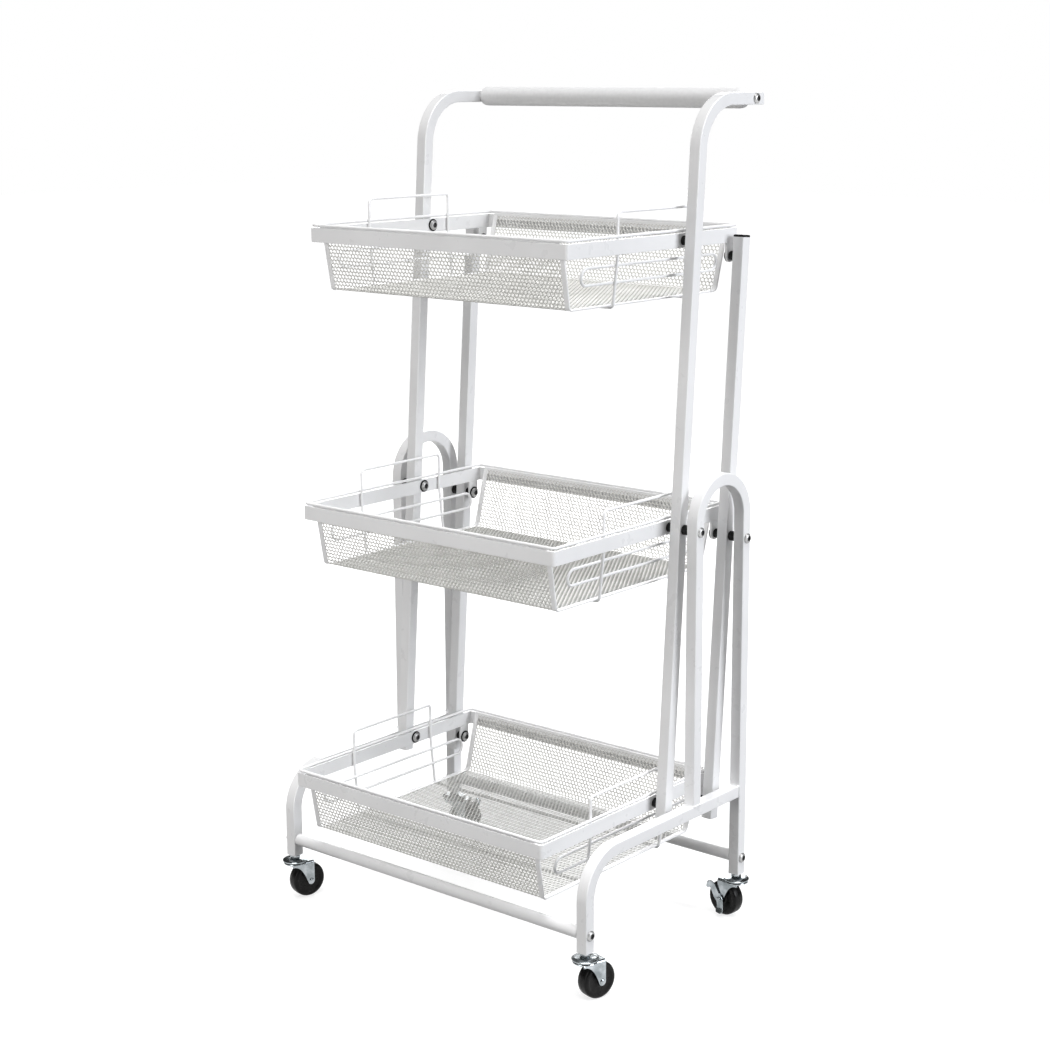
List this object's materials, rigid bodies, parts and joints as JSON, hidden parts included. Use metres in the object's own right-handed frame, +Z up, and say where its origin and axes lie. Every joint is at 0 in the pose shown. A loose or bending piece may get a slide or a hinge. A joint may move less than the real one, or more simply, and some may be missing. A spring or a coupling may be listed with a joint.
{
  "type": "rolling utility cart",
  "caption": "White tiered utility cart with mesh baskets, a rear push handle and small swivel casters.",
  "frame": {"origin": "on the floor, under the centre of the cart's box", "axes": "+Z up, -Y towards the front, +X towards the right side"},
  "size_m": [0.4464, 0.3409, 0.894],
  "materials": {
    "white_paint": "gloss white powder coat",
    "wire_paint": "satin white powder coat on wire and expanded mesh",
    "zinc": "bright zinc plate",
    "bolt": "polished zinc",
    "wheel": "glossy black",
    "cap": "black plastic",
    "grip": "matte light grey foam"
  },
  "bodies": {
    "base": {"side_rail_left": "white_paint", "side_rail_right": "white_paint", "arch_left": "white_paint", "arch_right": "white_paint", "cross_tube_front": "white_paint", "cross_tube_rear": "white_paint", "cross_bolt_front_left": "bolt", "cross_bolt_front_right": "bolt", "cross_bolt_rear_left": "bolt", "cross_bolt_rear_right": "bolt", "caster_stem_front_left": "zinc", "caster_stem_front_right": "zinc", "caster_stem_rear_left": "zinc", "caster_stem_rear_right": "zinc", "pivot_bolt_middle_front_left": "bolt", "pivot_bolt_middle_front_right": "bolt", "pivot_bolt_middle_rear_left": "bolt", "pivot_bolt_middle_rear_right": "bolt"},
    "swivel_front_left": {"caster_fork_front_left": "zinc"},
    "wheel_front_left": {"caster_wheel_front_left": "wheel"},
    "swivel_front_right": {"caster_fork_front_right": "zinc"},
    "wheel_front_right": {"caster_wheel_front_right": "wheel"},
    "swivel_rear_left": {"caster_fork_rear_left": "zinc"},
    "wheel_rear_left": {"caster_wheel_rear_left": "wheel"},
    "brake_rear_left": {"brake_lever_rear_left": "zinc"},
    "swivel_rear_right": {"caster_fork_rear_right": "zinc"},
    "wheel_rear_right": {"caster_wheel_rear_right": "wheel"},
    "brake_rear_right": {"brake_lever_rear_right": "zinc"},
    "front_posts": {"front_post_left": "white_paint", "front_post_right": "white_paint", "handle_tube": "white_paint", "handle_grip": "grip", "handle_bolt_left": "bolt", "handle_bolt_right": "bolt", "pivot_bolt_top_front_left": "bolt", "pivot_bolt_top_front_right": "bolt", "pivot_bolt_bottom_front_left": "bolt", "pivot_bolt_bottom_front_right": "bolt"},
    "rear_posts": {"rear_post_left": "white_paint", "rear_post_right": "white_paint", "post_cap_left": "cap", "post_cap_right": "cap", "pivot_bolt_top_rear_left": "bolt", "pivot_bolt_top_rear_right": "bolt", "pivot_bolt_bottom_rear_left": "bolt", "pivot_bolt_bottom_rear_right": "bolt"},
    "basket_top": {"basket_frame_top": "white_paint", "basket_tray_top": "wire_paint", "wire_guard_top": "wire_paint"},
    "basket_middle": {"basket_frame_middle": "white_paint", "basket_tray_middle": "wire_paint", "wire_guard_middle": "wire_paint"},
    "basket_bottom": {"basket_frame_bottom": "white_paint", "basket_tray_bottom": "wire_paint", "wire_guard_bottom": "wire_paint"}
  },
  "joints": [
    {"name": "swivel_front_left", "type": "hinge", "parent": "base", "child": "swivel_front_left", "pos_m": [-0.2085, -0.144, 0.0434], "axis": [0, 0, 1], "continuous": true},
    {"name": "roll_front_left", "type": "hinge", "parent": "swivel_front_left", "child": "wheel_front_left", "pos_m": [-0.20511, -0.13042, 0.0195], "axis": [-0.9703, 0.2419, 0], "continuous": true},
    {"name": "swivel_front_right", "type": "hinge", "parent": "base", "child": "swivel_front_right", "pos_m": [0.2085, -0.144, 0.0434], "axis": [0, 0, 1], "continuous": true},
    {"name": "roll_front_right", "type": "hinge", "parent": "swivel_front_right", "child": "wheel_front_right", "pos_m": [0.21189, -0.13042, 0.0195], "axis": [-0.9703, 0.2419, 0], "continuous": true},
    {"name": "swivel_rear_left", "type": "hinge", "parent": "base", "child": "swivel_rear_left", "pos_m": [-0.2085, 0.121, 0.0434], "axis": [0, 0, 1], "continuous": true},
    {"name": "roll_rear_left", "type": "hinge", "parent": "swivel_rear_left", "child": "wheel_rear_left", "pos_m": [-0.19534, 0.12579, 0.0195], "axis": [-0.342, 0.9397, 0], "continuous": true},
    {"name": "brake_rear_left", "type": "hinge", "parent": "swivel_rear_left", "child": "brake_rear_left", "pos_m": [-0.19534, 0.12579, 0.0195], "axis": [-0.342, 0.9397, 0], "range_deg": [0, 12]},
    {"name": "swivel_rear_right", "type": "hinge", "parent": "base", "child": "swivel_rear_right", "pos_m": [0.2085, 0.121, 0.0434], "axis": [0, 0, 1], "continuous": true},
    {"name": "roll_rear_right", "type": "hinge", "parent": "swivel_rear_right", "child": "wheel_rear_right", "pos_m": [0.19458, 0.12246, 0.0195], "axis": [-0.1045, -0.9945, 0], "continuous": true},
    {"name": "brake_rear_right", "type": "hinge", "parent": "swivel_rear_right", "child": "brake_rear_right", "pos_m": [0.19458, 0.12246, 0.0195], "axis": [-0.1045, -0.9945, 0], "range_deg": [0, 12]},
    {"name": "fold", "type": "hinge", "parent": "base", "child": "front_posts", "pos_m": [0, 0.0365, 0.449], "axis": [-1, 0, 0], "range_deg": [0, 86]},
    {"name": "rear_post_swing", "type": "hinge", "parent": "base", "child": "rear_posts", "pos_m": [0, 0.121, 0.428], "axis": [-1, 0, 0], "range_deg": [0, 86]},
    {"name": "basket_top_level", "type": "hinge", "parent": "front_posts", "child": "basket_top", "pos_m": [0, 0.05742, 0.743], "axis": [1, 0, 0], "range_deg": [0, 86]},
    {"name": "basket_middle_level", "type": "hinge", "parent": "front_posts", "child": "basket_middle", "pos_m": [0, 0.0365, 0.449], "axis": [1, 0, 0], "range_deg": [0, 86]},
    {"name": "basket_bottom_level", "type": "hinge", "parent": "front_posts", "child": "basket_bottom", "pos_m": [0, 0.01558, 0.155], "axis": [1, 0, 0], "range_deg": [0, 86]}
  ],
  "couplings": [
    {"joint": "rear_post_swing", "follows": "fold", "ratio": 1},
    {"joint": "basket_top_level", "follows": "fold", "ratio": 1},
    {"joint": "basket_middle_level", "follows": "fold", "ratio": 1},
    {"joint": "basket_bottom_level", "follows": "fold", "ratio": 1}
  ]
}
